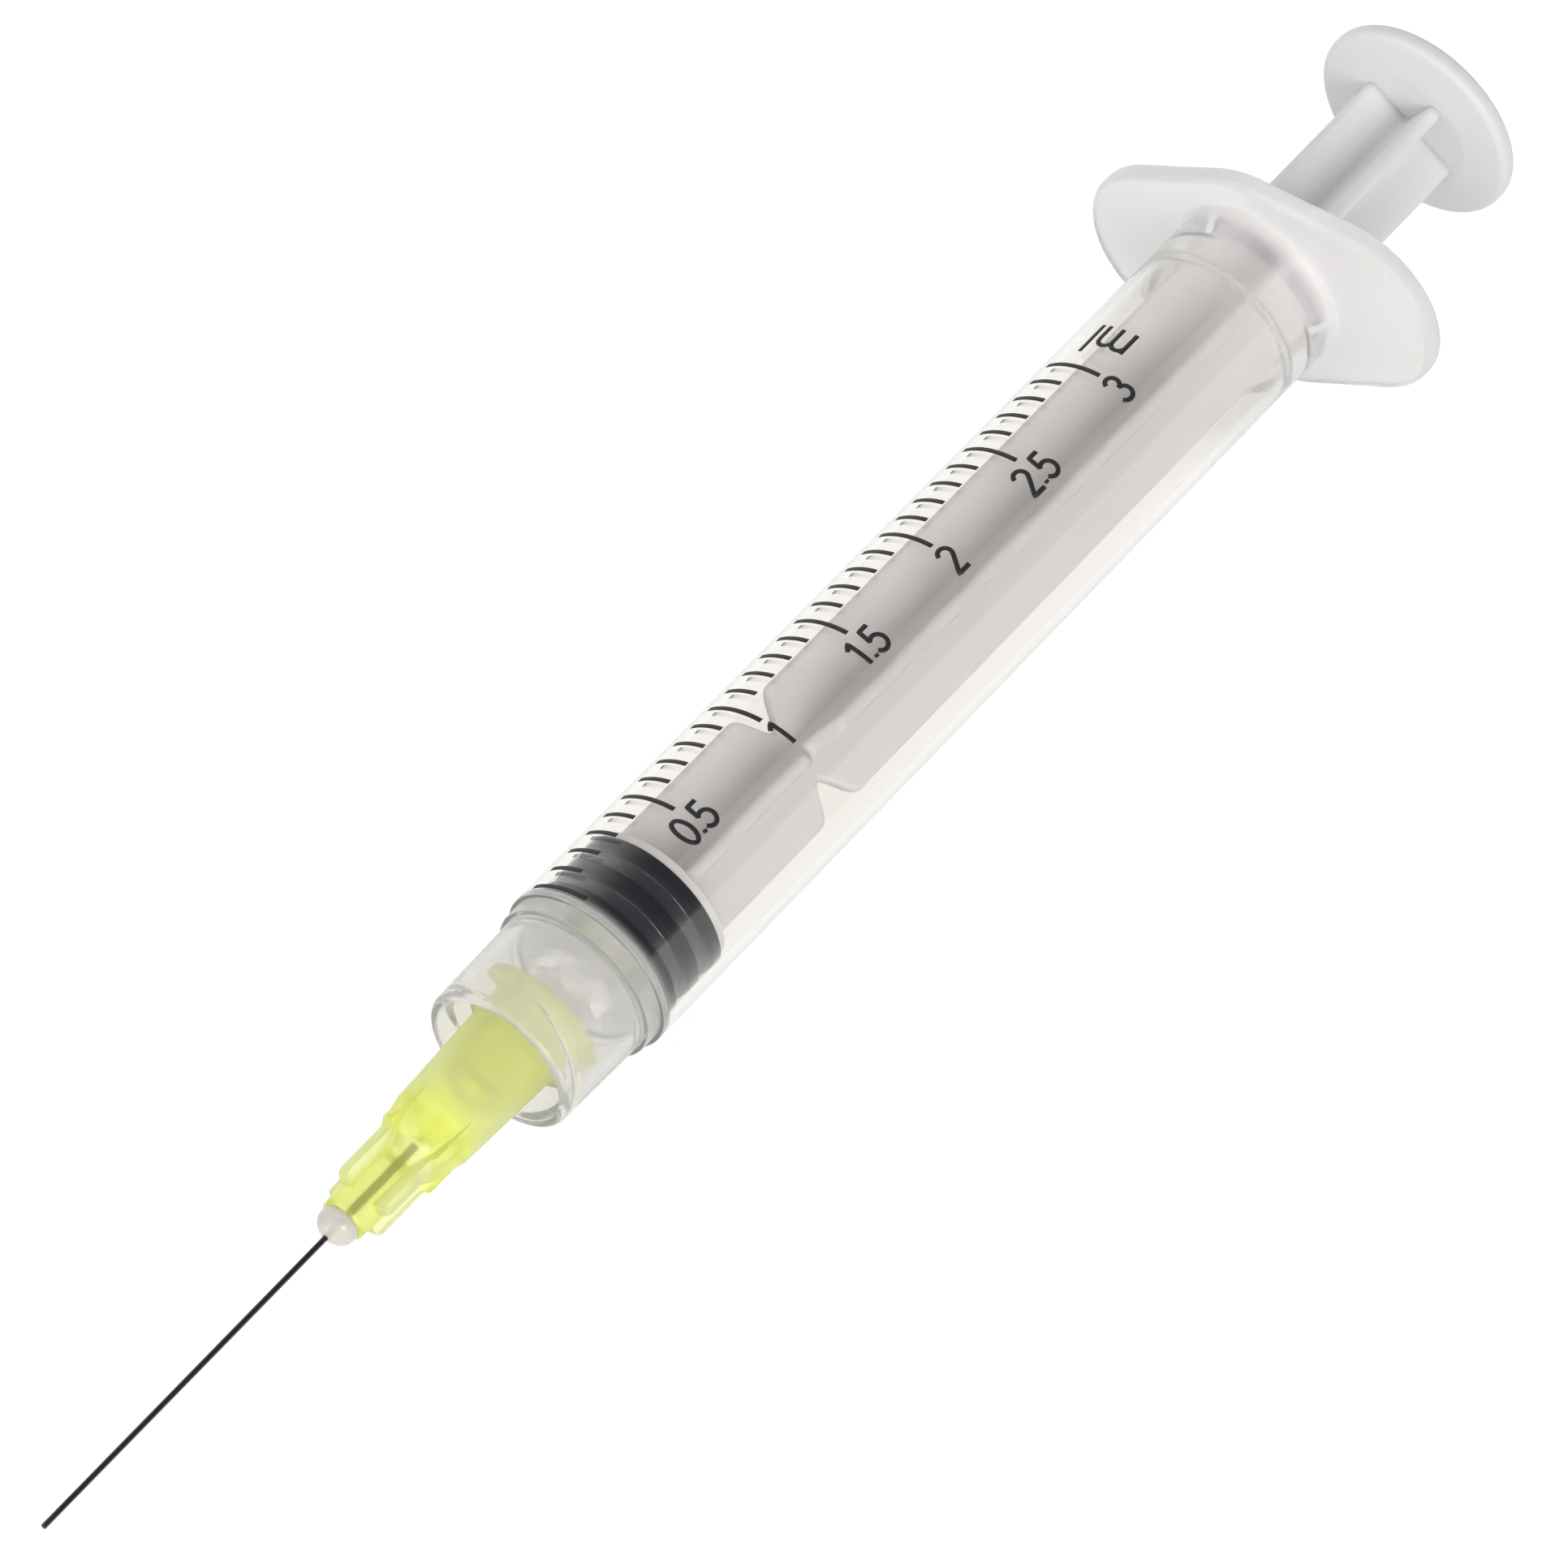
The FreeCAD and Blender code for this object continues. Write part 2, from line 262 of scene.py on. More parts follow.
def awayFromAxis(bench, low, high):
    # Rises from 0 to 1 as the distance from the axis, the root of y squared + z squared, goes from low to high
    place = bench.node("ShaderNodeTexCoord", output="Object")
    flat = bench.node("ShaderNodeVectorMath", {"operation": "MULTIPLY"}, {0: place, 1: (0.0, 1.0, 1.0)})
    distance = bench.node("ShaderNodeVectorMath", {"operation": "LENGTH"}, {0: flat}, "Value")
    return bench.node("ShaderNodeMapRange", {"interpolation_type": "SMOOTHSTEP"}, {
        0: distance, 1: low * 0.001, 2: high * 0.001, 3: 0.0, 4: 1.0})


def seeThrough(bench, surface, look, share):
    # Lamps reach what lies inside, because shadow rays pass the wall straight, and less where it is milky
    shadow = bench.node("ShaderNodeLightPath", output="Is Shadow Ray")
    clear = bench.node("ShaderNodeBsdfTransparent", inputs={"Color": look["shadowColour"]})
    passing = shadow * (look["lightThrough"] - look["milkyBlocks"] * share)
    return bench.node("ShaderNodeMixShader", inputs={0: passing, 1: surface, 2: clear})


def hazyMaterial(name, look, haze):
    # Clear plastic mixed with its own milky form: haze is the milky share, a number or a function of the bench
    material, bench = newMaterial(name)
    clear = plasticSurface(bench, look)
    milky = plasticSurface(bench, {**look, **look["milky"]})
    share = haze(bench) if callable(haze) else haze
    surface = bench.node("ShaderNodeMixShader", inputs={0: share, 1: clear, 2: milky})
    bench.node("ShaderNodeOutputMaterial", inputs={"Surface": seeThrough(bench, surface, look, share)})
    return material


def solidMaterial(name, look, share=None):
    # One plastic, or two looks of it mixed by share, a function of the bench; the seal's second look is painted
    # light in its grooves
    material, bench = newMaterial(name)
    surface = plasticSurface(bench, look)
    if share:
        other = plasticSurface(bench, {**look, **look["other"]})
        surface = bench.node("ShaderNodeMixShader", inputs={0: share(bench), 1: surface, 2: other})
    bench.node("ShaderNodeOutputMaterial", inputs={"Surface": surface})
    return material


def paintedNeckShade(bench):
    # Painted shade: between the stop ring and the flange the wall is painted a little darker, where the flange
    # shades the rod inside
    start, end = barrel["zones"]["neckShadeStart"], barrel["zones"]["neckShadeEnd"]
    return alongSyringe(bench, *start, 0.0, 1.0) * alongSyringe(bench, *end, 1.0, 0.0)


barrel = {
    "bore": 4.625,
    "outside": 5.2,
    "floorX": -58.752,
    "collarFloorX": -60.202,
    "rimX": -66.802,
    "coneTipX": -69.102,
    "coneTipRadius": 1.965,
    "coneSlope": 0.03,
    "channel": 0.9,
    "collarBore": 4.05,
    "columns": 384,
    "flangeRoot": 5.8,
    "flangeReach": 11.8,
    "flangeEdge": 0.62,
    "lobeRadius": 5.6,
    "middleRadius": 7.1,
    "threadLead": 5.0,
    "threadHeight": 0.32,
    "threadEnds": (-66.55, -64.75),
    "threadFlank": (0.42, 0.12),
    "threadFade": 0.15,
    "threadBand": (3.99, 4.2),
    "haze": {
        "tube": 0.008, "mouth": 0.26, "flange": 0.72, "shoulder": 0.32, "collar": 0.28, "cone": 0.08, "floor": 0.2},
    # Where each haze and the painted shade of the neck ease in or out: stations along X, or distances from the axis
    "zones": {
        "mouth": (-13.0, -2.5), "neckShadeStart": (-2.0, -1.8), "neckShadeEnd": (-1.2, -0.4), "flange": (-1.4, 0.2),
        "shoulder": (-59.0, -58.4), "collar": (-63.5, -60.6), "cone": (-64.0, -61.0), "coneRadii": (2.3, 3.6),
        "floorStart": (-60.9, -60.3), "floorEnd": (-58.7, -58.5), "floorRadii": (4.0, 4.3)},
    "look": {
        "colour": linear(249, 247, 243), "otherColour": linear(250, 248, 244),
        # zoneColour here is painted shade: the wall near the flange is darker where the flange shades the rod inside
        "zone": paintedNeckShade, "zoneColour": linear(240, 238, 240),
        "fineScale": 400.0, "broadScale": 40.0, "bump": 0.001,
        "roughness": 0.03, "roughnessSpread": 0.02, "ior": 1.49, "transmission": 1.0,
        "specular": 0.5, "lightThrough": 0.9, "milkyBlocks": 0.3, "shadowColour": (0.89, 0.888, 0.9, 1),
        "milky": {
            "colour": linear(254, 253, 252), "otherColour": linear(255, 254, 253), "bump": 0.03,
            "roughness": 0.7, "transmission": 0.5},
    },
}


def flangeRadius(angle):
    # Distance from the axis to the edge of the hull of two lobes and a round middle:
    # the least of support / cos(angle off the support's direction) over all directions
    direction = np.linspace(0, 2 * np.pi, 2880, endpoint=False)
    far = barrel["flangeReach"] - barrel["lobeRadius"]
    support = np.maximum(barrel["middleRadius"], barrel["lobeRadius"] + far * np.abs(np.cos(direction)))
    off = np.cos(direction[:, None] - angle[None, :])
    return np.min(np.where(off > 0.05, support[:, None] / np.maximum(off, 0.05), 99.0), axis=0)


def barrelShell():
    # One closed surface: tip of the male cone, collar, tube, flange and back along the bore.
    # Beyond the flange's root the radius is stretched so that the edge follows flangeRadius.
    tip, rim, floor = barrel["coneTipX"], barrel["rimX"], barrel["collarFloorX"]
    outside, bore, root = barrel["outside"], barrel["bore"], barrel["flangeRoot"]
    reach, boreFloor = barrel["flangeReach"], barrel["floorX"]
    cone, collar, channel = barrel["coneTipRadius"], barrel["collarBore"], barrel["channel"]
    corners = [
        (tip, 1.2),
        (tip, cone, 0.25),
        (floor, cone + barrel["coneSlope"] * (floor - tip), 0.2),
        (floor, collar, 0.3),
        *[(x, collar) for x in np.arange(floor - 1.5, rim + 0.1, -0.13)],
        (rim, collar, 0.08),
        (rim, 4.58, 0.35),
        (boreFloor - 1.65, 4.70, 0.05),
        (boreFloor - 1.65, 4.96, 0.08),
        (boreFloor - 0.60, 4.96, 0.05),
        (boreFloor - 0.60, outside, 0.08),
        (0.0, outside, 0.4),
        (0.0, root + 0.02, 0.0),
        (0.0, reach, 0.5),
        (1.4, reach, 0.5),
        (1.4, bore + 0.25, 0.08),
        (1.15, bore, 0.1),
        (-1.90, bore, 0.06),
        (-2.095, 4.30, 0.06),
        (-3.52, 4.30, 0.8),
        (-4.30, bore, 0.8),
        (boreFloor, bore, 0.15),
        (boreFloor - 0.60, channel, 0.2),
        (tip, channel, 0.1),
        (tip, 1.2),
    ]
    path = creased(roundedPath(corners, step=1.0, arcSteps=9))[:-1]
    x, s = path[:, :1], path[:, 1:]
    angle = np.arange(barrel["columns"]) * 2 * np.pi / barrel["columns"]
    edge = flangeRadius(angle)[None, :]
    zone = barrel["flangeEdge"]
    plain = root + (s - root) / (reach - zone - root) * (edge - zone - root)
    radius = np.where(s > reach - zone, edge - (reach - s), np.where(s > root, plain, s))
    # Two thread ridges inside the collar: height follows the turn minus the way along the lead
    (low, high), fade, band = barrel["threadEnds"], barrel["threadFade"], barrel["threadBand"]
    inCollar = (s > band[0]) & (s < band[1]) & (x > rim - 0.1) & (x < floor)
    turn = (angle[None, :] - (x - low) / barrel["threadLead"] * 2 * np.pi) % np.pi
    ridge = smoothStep(*barrel["threadFlank"], np.abs(turn - np.pi / 2)) * smoothStep(low - fade, low + fade, x)
    ridge = ridge * smoothStep(high + fade, high - fade, x)
    radius = np.where(inCollar, radius - barrel["threadHeight"] * ridge, radius)
    return closedGrid(aboutAxis(x, radius, angle[None, :]), wrapRows=True)


def barrelHaze(bench):
    # Thick plastic looks milkier: the flange most, the collar and the bore's floor less, the tube hardly
    haze, zones = barrel["haze"], barrel["zones"]
    mouth = alongSyringe(bench, *zones["mouth"], haze["tube"], haze["mouth"])
    flange = alongSyringe(bench, *zones["flange"], 0.0, haze["flange"] - haze["mouth"])
    shoulder = alongSyringe(bench, *zones["shoulder"], haze["shoulder"] - haze["tube"], 0.0)
    collar = alongSyringe(bench, *zones["collar"], haze["collar"] - haze["shoulder"], 0.0)
    cone = alongSyringe(bench, *zones["cone"], haze["cone"] - haze["collar"], 0.0)
    cone = cone * (1 - awayFromAxis(bench, *zones["coneRadii"]))
    floor = alongSyringe(bench, *zones["floorStart"], 0.0, haze["floor"])
    floor = floor * (1 - awayFromAxis(bench, *zones["floorRadii"]))
    floor = floor * alongSyringe(bench, *zones["floorEnd"], 1.0, 0.0)
    return mouth + flange + shoulder + collar + cone + floor


def addBarrel():
    material = hazyMaterial("clearBarrelPlastic", barrel["look"], barrelHaze)
    meshPiece("barrelShell", [barrelShell()], "barrel", material, ["barrel"])


addBarrel()

rod = {
    "webHalf": 3.75,
    "gripHalf": 3.38,
    "webThickness": 0.9,
    "tipRounding": 0.40,
    "rootFillet": 0.28,
    "webTurn": 37.0,
    "frontX": -53.5,
    "guideX": 1.2,
    "guideEnd": 2.0,
    "thumbX": 14.1,
    "snapX": -41.6,
    "notchHeight": 1.8,
    "notchReach": 1.72,
    "notchSharpness": 1.25,
    "sealBackX": -54.0,
    "look": {
        "colour": linear(225, 223, 224), "otherColour": linear(229, 227, 228),
        "fineScale": 700.0, "broadScale": 50.0, "bump": 0.05,
        "roughness": 0.38, "roughnessSpread": 0.10, "ior": 1.49, "transmission": 0.0,
        "specular": 0.4,
    },
}


def ribHeight(x):
    # Half width of the web: full, narrowed to a rounded notch at the snap line, and less in the grip
    off = np.abs(x - rod["snapX"])
    depth = rod["webHalf"] - rod["notchHeight"]
    notch = depth * smoothStep(rod["notchReach"], 0.0, off) ** rod["notchSharpness"]
    middle = (rod["guideX"] + rod["guideEnd"]) / 2
    return np.where(x > middle, rod["gripHalf"], rod["webHalf"] - notch)


def webShell():
    # A cross section of four ribs carried along X, its ribs as high as ribHeight says
    half, corner, root = rod["webThickness"] / 2, rod["tipRounding"], rod["rootFillet"]
    inner = half + root
    bend = np.linspace(0, np.pi / 2, 7)
    fraction = np.linspace(0, 1, 6)[:, None]
    x = np.concatenate([
        np.linspace(rod["frontX"], rod["snapX"] - 1.9, 30),
        np.linspace(rod["snapX"] - 1.8, rod["snapX"] + 1.8, 49),
        np.linspace(rod["snapX"] + 1.9, 1.59, 60),
        np.linspace(1.61, rod["thumbX"] + 0.15, 20),
    ])
    high = ribHeight(x)[None, :]
    # One rib from its root on one side over the tip to the root on the other, q outwards and t across
    fillet = np.linspace(0, np.pi / 4, 4)[1:, None]
    sideQ = np.concatenate([
        inner - root * np.sin(fillet[::-1]) + 0 * high,
        inner + (high - corner - inner) * fraction,
        high - corner + corner * np.sin(bend[1:, None]),
    ])
    sideT = np.concatenate([
        half + root * (1 - np.cos(fillet[::-1])) + 0 * high,
        half + 0 * high * fraction,
        half - corner + corner * np.cos(bend[1:, None]) + 0 * high,
    ])
    q = np.concatenate([sideQ, sideQ[::-1]])
    t = np.concatenate([sideT, -sideT[::-1]])
    rings = []
    for k in range(4):
        a = np.radians(rod["webTurn"] + 90 * k)
        y, z = -(q * np.cos(a) + t * np.sin(a)), q * np.sin(a) - t * np.cos(a)
        rings.append(np.stack([x[None, :] + 0 * q, y, z], -1))
    return closedGrid(np.concatenate(rings).transpose(1, 0, 2))


def discShell(corners):
    return turnedShell(creased(roundedPath(corners, step=0.6)), 160)


def addRod():
    back = rod["sealBackX"]
    guide, end, thumb = rod["guideX"], rod["guideEnd"], rod["thumbX"]
    shells = [
        webShell(),
        discShell([
            (back - 2.7, 0.02), (back - 2.7, 2.03), (back - 2.23, 2.5, 0.1), (back - 1.3, 2.5, 0.1),
            (back - 1.3, 1.8), (back, 1.8), (back, 4.375, 0.12), (back + 0.6, 4.375, 0.12), (back + 0.6, 0.02)]),
        discShell([
            (guide, 0.02), (guide, 4.22, 0.14), (end, 4.22, 0.14), (end, 0.02)]),
        discShell([
            (thumb, 0.02), (thumb, 3.73, 0.9), (thumb + 0.35, 6.25, 0.45),
            (thumb + 1.45, 6.25, 0.45), (thumb + 1.45, 0.02)]),
    ]
    material = solidMaterial("whiteRodPlastic", rod["look"])
    meshPiece("plungerRodBody", shells, "plunger", material, ["plunger_rod"])


addRod()

seal = {
    "front": -58.65,
    "radius": 4.575,
    "groove": 0.38,
    "ribWidth": 0.75,
    "pitch": 1.95,
    "ribs": 3,
    "grooveEase": 0.12,
    "look": {
        "colour": linear(18, 23, 31), "otherColour": linear(23, 29, 38),
        "fineScale": 1200.0, "broadScale": 90.0, "bump": 0.05,
        "roughness": 0.3, "roughnessSpread": 0.08, "ior": 1.5, "transmission": 0.0,
        "specular": 0.1,
        # The other look is painted light: a lighter colour, with more gloss, for the grooves
        "other": {
            "colour": linear(36, 39, 48), "otherColour": linear(43, 46, 55), "roughness": 0.16, "specular": 0.8},
    },
}


def paintedGrooveLight(bench):
    # The ribs press on the glass-clear wall and stay black; the grooves between them get a lighter copy of the
    # rubber, painted light for where they catch the light
    share, ease = 0.0, seal["grooveEase"]
    for i in range(seal["ribs"] - 1):
        start = seal["front"] + i * seal["pitch"] + seal["ribWidth"]
        end = start + seal["pitch"] - seal["ribWidth"]
        rise = alongSyringe(bench, start, start + ease, 0.0, 1.0)
        share = share + rise * alongSyringe(bench, end - ease, end, 1.0, 0.0)
    return share


def addSeal():
    front, radius = seal["front"], seal["radius"]
    groove = radius - seal["groove"]
    corners = [(front - 0.6, 0.02), (front - 0.6, 0.8, 0.3), (front, radius, 0.15)]
    for i in range(seal["ribs"] - 1):
        start = front + i * seal["pitch"] + seal["ribWidth"]
        end = start + seal["pitch"] - seal["ribWidth"]
        corners += [
            (start, radius, 0.1), (start + 0.19, groove, 0.1), (end - 0.19, groove, 0.1), (end, radius, 0.1)]
    back = front + seal["ribWidth"] + (seal["ribs"] - 1) * seal["pitch"]
    # The cavity that holds the rod's head, a little larger than it all round
    corners += [
        (back, radius, 0.15), (back, 1.85, 0.05), (back - 1.25, 1.85, 0.0), (back - 1.25, 2.55, 0.0),
        (back - 2.28, 2.55, 0.05), (back - 2.75, 2.08, 0.05), (back - 2.75, 0.02)]
    material = solidMaterial("blackSealRubber", seal["look"], paintedGrooveLight)
    shell = turnedShell(creased(roundedPath(corners, step=0.5)), 160)
    meshPiece("sealRubber", [shell], "plunger", material, ["seal"])


addSeal()


def paleZone(bench):
    # The thin fins beside the nose look palest, the socket's wall half so, the solid nose deep lime
    zones = hub["zones"]
    fins = awayFromAxis(bench, *zones["finRadii"]) * alongSyringe(bench, *zones["finEnd"], 1.0, 0.0)
    return fins + alongSyringe(bench, *zones["wallStart"], 0.0, hub["wallPale"])


hub = {
    "nose": -79.752,
    "neck": -75.302,
    "crown": -72.202,
    "back": -63.552,
    "turn": -8.0,
    "finHalf": 0.35,
    "finFront": -78.40,
    "finStep": -74.50,
    "finBack": -71.20,
    "finLow": 2.25,
    "finHigh": 2.605,
    "lugRadius": 3.9,
    "lugStart": -64.402,
    "lugSpan": 130.0,
    "lugTurn": 37.0,
    "haze": {"nose": 0.62, "wall": 0.55},
    "wallPale": 0.55,
    "zones": {
        "finRadii": (1.45, 1.85), "finEnd": (-75.2, -74.2), "wallStart": (-73.2, -70.5), "noseEnd": (-76.5, -73.0)},
    "look": {
        "colour": linear(248, 252, 190), "otherColour": linear(249, 253, 198),
        "zone": paleZone, "zoneColour": linear(252, 254, 232),
        "fineScale": 900.0, "broadScale": 120.0, "bump": 0.02,
        "roughness": 0.14, "roughnessSpread": 0.08, "ior": 1.49, "transmission": 1.0,
        "specular": 0.5, "lightThrough": 0.9, "milkyBlocks": 0.3, "shadowColour": (0.95, 0.97, 0.75, 1),
        "milky": {
            "colour": linear(248, 252, 126), "otherColour": linear(249, 253, 138),
            "zoneColour": linear(253, 255, 204),
            "roughness": 0.6, "transmission": 0.5},
    },
}


def hubColumns():
    # Angles that crowd at the fins' sides and at the ends of the lugs
    side = np.concatenate([
        np.linspace(0, 7.0, 4), np.linspace(7.6, 11.0, 8), np.linspace(11.6, 17.5, 9),
        np.linspace(19.0, 45.0, 11)[:-1]])
    local = np.concatenate([-side[:0:-1], side])
    fins = np.concatenate([local - hub["turn"] + 90 * k for k in range(4)])
    ends = np.concatenate([
        hub["lugTurn"] - hub["turn"] + 180 * k + sign * hub["lugSpan"] / 2 + np.linspace(-1.2, 1.2, 7)
        for k in range(2) for sign in (-1, 1)])
    return np.radians(np.unique(np.round((np.concatenate([fins, ends])) % 360, 3)))


def finTop(x):
    # Height of a fin at station x: rounded front, low run, step up, high run, slope down
    low, high = hub["finLow"], hub["finHigh"]
    start, step, back = hub["finFront"], hub["finStep"], hub["finBack"]
    lead = np.clip((x - start) / 0.45, 0, 1)
    top = low - 0.45 + 0.45 * np.sqrt(np.maximum(0, 1 - (1 - lead) ** 2))
    top = top + (high - low) * smoothStep(step - 0.22, step + 0.22, x)
    top = top - 0.35 * smoothStep(back - 0.6, back, x)
    return np.where((x < start) | (x > back), 0.4, top)


def hubShell():
    angle = hubColumns()
    nose, neck, crown, back = hub["nose"], hub["neck"], hub["crown"], hub["back"]
    outer = roundedPath([
        (nose, 0.02), (nose, 1.15), (nose + 0.15, 1.3), (neck, 1.42, 1.5), (neck + 1.15, 2.0, 0.5),
        (crown, 2.455, 1.5), (back, 2.78, 0.08), (back, 2.4)], step=0.16, arcSteps=8)
    inner = roundedPath([
        (back, 2.4), (back, 2.17, 0.05), (-72.102, 1.915), (-73.352, 0.17), (-73.352, 0.02)], step=0.5)
    # Extra rows where the fins and lugs start and end
    extra = np.concatenate([
        hub["finFront"] + np.array([-0.03, -0.005, 0.005, 0.02, 0.05, 0.1]),
        hub["finBack"] + np.array([-0.05, -0.01, 0.01, 0.05]),
        hub["lugStart"] + np.array([-0.05, -0.01, 0.01, 0.03, 0.08, 0.15]),
        np.array([back - 0.15, back - 0.08, back - 0.03])])
    wall = outer[(outer[:, 0] > nose + 0.2) & (outer[:, 0] < back - 0.1) & (outer[:, 1] > 1.25)]
    order = np.unique(np.concatenate([wall[:, 0], extra]))
    body = np.interp(order, wall[:, 0], wall[:, 1])
    head = outer[(outer[:, 0] <= nose + 0.2)]
    rows = np.concatenate([head, np.stack([order, body], -1), [[back, 2.74], [back, 2.5]], inner])
    rowOuter = np.concatenate([np.zeros(len(head)), np.ones(len(order)), np.zeros(2 + len(inner))])[:, None]
    x, base = rows[:, :1], rows[:, 1:]
    local = (np.degrees(angle) + hub["turn"] + 45) % 90 - 45
    side = hub["finHalf"] / np.maximum(np.abs(np.sin(np.radians(local))), 0.05)[None, :]
    fins = softLess(finTop(x) + 0 * side, side, 0.07)
    radius = softMore(base + 0 * side, fins, 0.10)
    # Lugs: a band of constant radius over lugSpan, its edges rounded
    fromLug = (np.degrees(angle) - hub["lugTurn"] + hub["turn"] + 90) % 180 - 90
    band = smoothStep(hub["lugSpan"] / 2 + 0.9, hub["lugSpan"] / 2 - 0.9, np.abs(fromLug))[None, :]
    rise = np.where((x > hub["lugStart"]) & (x < back), 1.0, 0.0)
    nearEdge = np.minimum(np.abs(x - hub["lugStart"]), np.abs(back - x))
    lugRadius = hub["lugRadius"] - 0.12 * smoothStep(0.15, 0.0, nearEdge)
    radius = radius + (lugRadius - radius) * band * rise
    radius = np.where(rowOuter > 0, radius, base + 0 * side)
    return closedGrid(aboutAxis(x, radius, angle[None, :]))


def hubHaze(bench):
    # The solid nose round the cannula is milkier than the wall of the socket
    return alongSyringe(bench, *hub["zones"]["noseEnd"], hub["haze"]["nose"], hub["haze"]["wall"])


def addHub():
    material = hazyMaterial("limeHubPlastic", hub["look"], hubHaze)
    meshPiece("needleHubShell", [hubShell()], "needle", material, ["needle_hub"])


addHub()

needle = {
    "radius": 0.155,
    "hole": 0.08,
    "tip": -103.76,
    "back": -73.62,
    "beadTip": -81.002,
    "steel": linear(74, 72, 72),
    "haze": 0.8,
    "look": {
        "colour": linear(247, 245, 240), "otherColour": linear(249, 247, 243),
        "fineScale": 900.0, "broadScale": 200.0, "bump": 0.02,
        "roughness": 0.05, "roughnessSpread": 0.04, "ior": 1.5, "transmission": 1.0,
        "specular": 0.5, "lightThrough": 0.9, "milkyBlocks": 0.3, "shadowColour": (0.95, 0.94, 0.92, 1),
        "milky": {
            "colour": linear(250, 246, 240), "otherColour": linear(252, 248, 243),
            "roughness": 0.25, "transmission": 0.25},
    },
}


def steelMaterial():
    # Drawn steel: noise stretched along the tube, seen in the roughness
    material, bench = newMaterial("drawnSteel")
    place = bench.node("ShaderNodeTexCoord", output="Object")
    along = bench.node("ShaderNodeMapping", inputs={"Vector": place, "Scale": (0.02, 1.0, 1.0)})
    streak = bench.node("ShaderNodeTexNoise", inputs={"Vector": along, "Scale": 9000.0, "Detail": 2.0})
    shader = bench.node("ShaderNodeBsdfPrincipled", inputs={
        "Base Color": needle["steel"],
        "Metallic": 1.0,
        "Roughness": 0.24 + streak * 0.16,
    })
    bench.node("ShaderNodeOutputMaterial", inputs={"Surface": shader})
    return material


def addNeedle():
    radius, hole, tip, back = needle["radius"], needle["hole"], needle["tip"], needle["back"]
    tube = creased(roundedPath([
        (tip, hole), (tip, radius, 0.04), (back, radius), (back, hole), (tip, hole)], step=1.5), 0.01)[:-1]
    meshPiece("cannulaTube", [turnedShell(tube, 32, wrapRows=True)], "needle", steelMaterial(), ["cannula"])
    nose = hub["nose"]
    t = np.linspace(0, 1, 24)[:, None]
    ends = np.array([[needle["beadTip"], 0.25], [nose, 1.15]])
    swell = ends[0] * (1 - t) + ends[1] * t + np.array([[-0.12, 0.3]]) * np.sin(np.pi * t)
    bead = np.concatenate([[[needle["beadTip"], 0.16]], swell, [[nose, 0.16]]])
    material = hazyMaterial("clearGlue", needle["look"], needle["haze"])
    meshPiece("glueBeadCone", [turnedShell(bead, 64)], "needle", material, ["glue_bead"])


addNeedle()

printing = {
    "zero": -58.65,
    "major": 7.44,
    "majors": 7,
    "parts": 5,
    "width": 0.30,
    "thickness": 0.012,
    "lift": 0.004,
    "majorStart": 75.0,
    "mediumStart": 91.8,
    "end": 119.0,
    "ink": linear(26, 27, 30),
    "numeralHeight": 1.9,
    "numeralStart": 50.0,
    "unitX": -10.4,
    "unitStart": 73.4,
    "unitHeight": 2.35,
    "strokeWidth": 0.28,
}


def ribbon(x, angle, width):
    # A stroke of ink on the barrel: the path (x, angle in degrees) widened in the surface, as a thin closed slab
    along = np.radians(angle) * barrel["outside"]
    path = np.stack([x, along], -1)
    run = np.gradient(path, axis=0)
    run = run / np.linalg.norm(run, axis=1)[:, None]
    across = np.stack([-run[:, 1], run[:, 0]], -1) * width / 2
    low = barrel["outside"] + printing["lift"]
    high = low + printing["thickness"]
    corners = [(path - across, low), (path + across, low), (path + across, high), (path - across, high)]
    points = np.stack([aboutAxis(p[:, 0], r, p[:, 1] / barrel["outside"]) for p, r in corners], 1)
    return closedGrid(points)


def bow(centreX, centreY, radiusX, radiusY, start, end):
    # Part of an ellipse, in degrees from the right and upwards
    t = np.radians(np.linspace(start, end, 22))
    return np.stack([centreX + radiusX * np.cos(t), centreY + radiusY * np.sin(t)], -1)


def straight(*points):
    # A chain of straight runs, cut finely so that it can bend round the barrel
    return roundedPath(list(points), step=0.06)


def glyphStrokes():
    # Each sign is drawn one unit high from its lower left corner: (strokes, width)
    two = np.concatenate([bow(0.27, 0.73, 0.22, 0.22, 165, -35), straight((0.45, 0.60), (0.05, 0.05), (0.52, 0.05))])
    five = np.concatenate([
        straight((0.48, 0.95), (0.14, 0.95), (0.08, 0.50)), bow(0.26, 0.32, 0.25, 0.27, 140, -150)])
    return {
        "0": ([bow(0.28, 0.5, 0.23, 0.45, 90, 452)], 0.56),
        "1": ([straight((0.10, 0.76), (0.30, 0.95), (0.30, 0.05))], 0.46),
        "2": ([two], 0.56),
        "3": ([bow(0.26, 0.735, 0.20, 0.215, 160, -90), bow(0.26, 0.285, 0.24, 0.235, 90, -155)], 0.56),
        "5": ([five], 0.56),
        ".": ([straight((0.12, 0.05), (0.12, 0.16))], 0.24),
        "m": ([
            straight((0.08, 0.05), (0.08, 0.74)),
            np.concatenate([bow(0.27, 0.50, 0.19, 0.20, 180, 0), straight((0.46, 0.48), (0.46, 0.05))]),
            np.concatenate([bow(0.65, 0.50, 0.19, 0.20, 180, 0), straight((0.84, 0.48), (0.84, 0.05))])], 1.0),
        "l": ([straight((0.07, 0.05), (0.07, 1.03))], 0.16),
    }


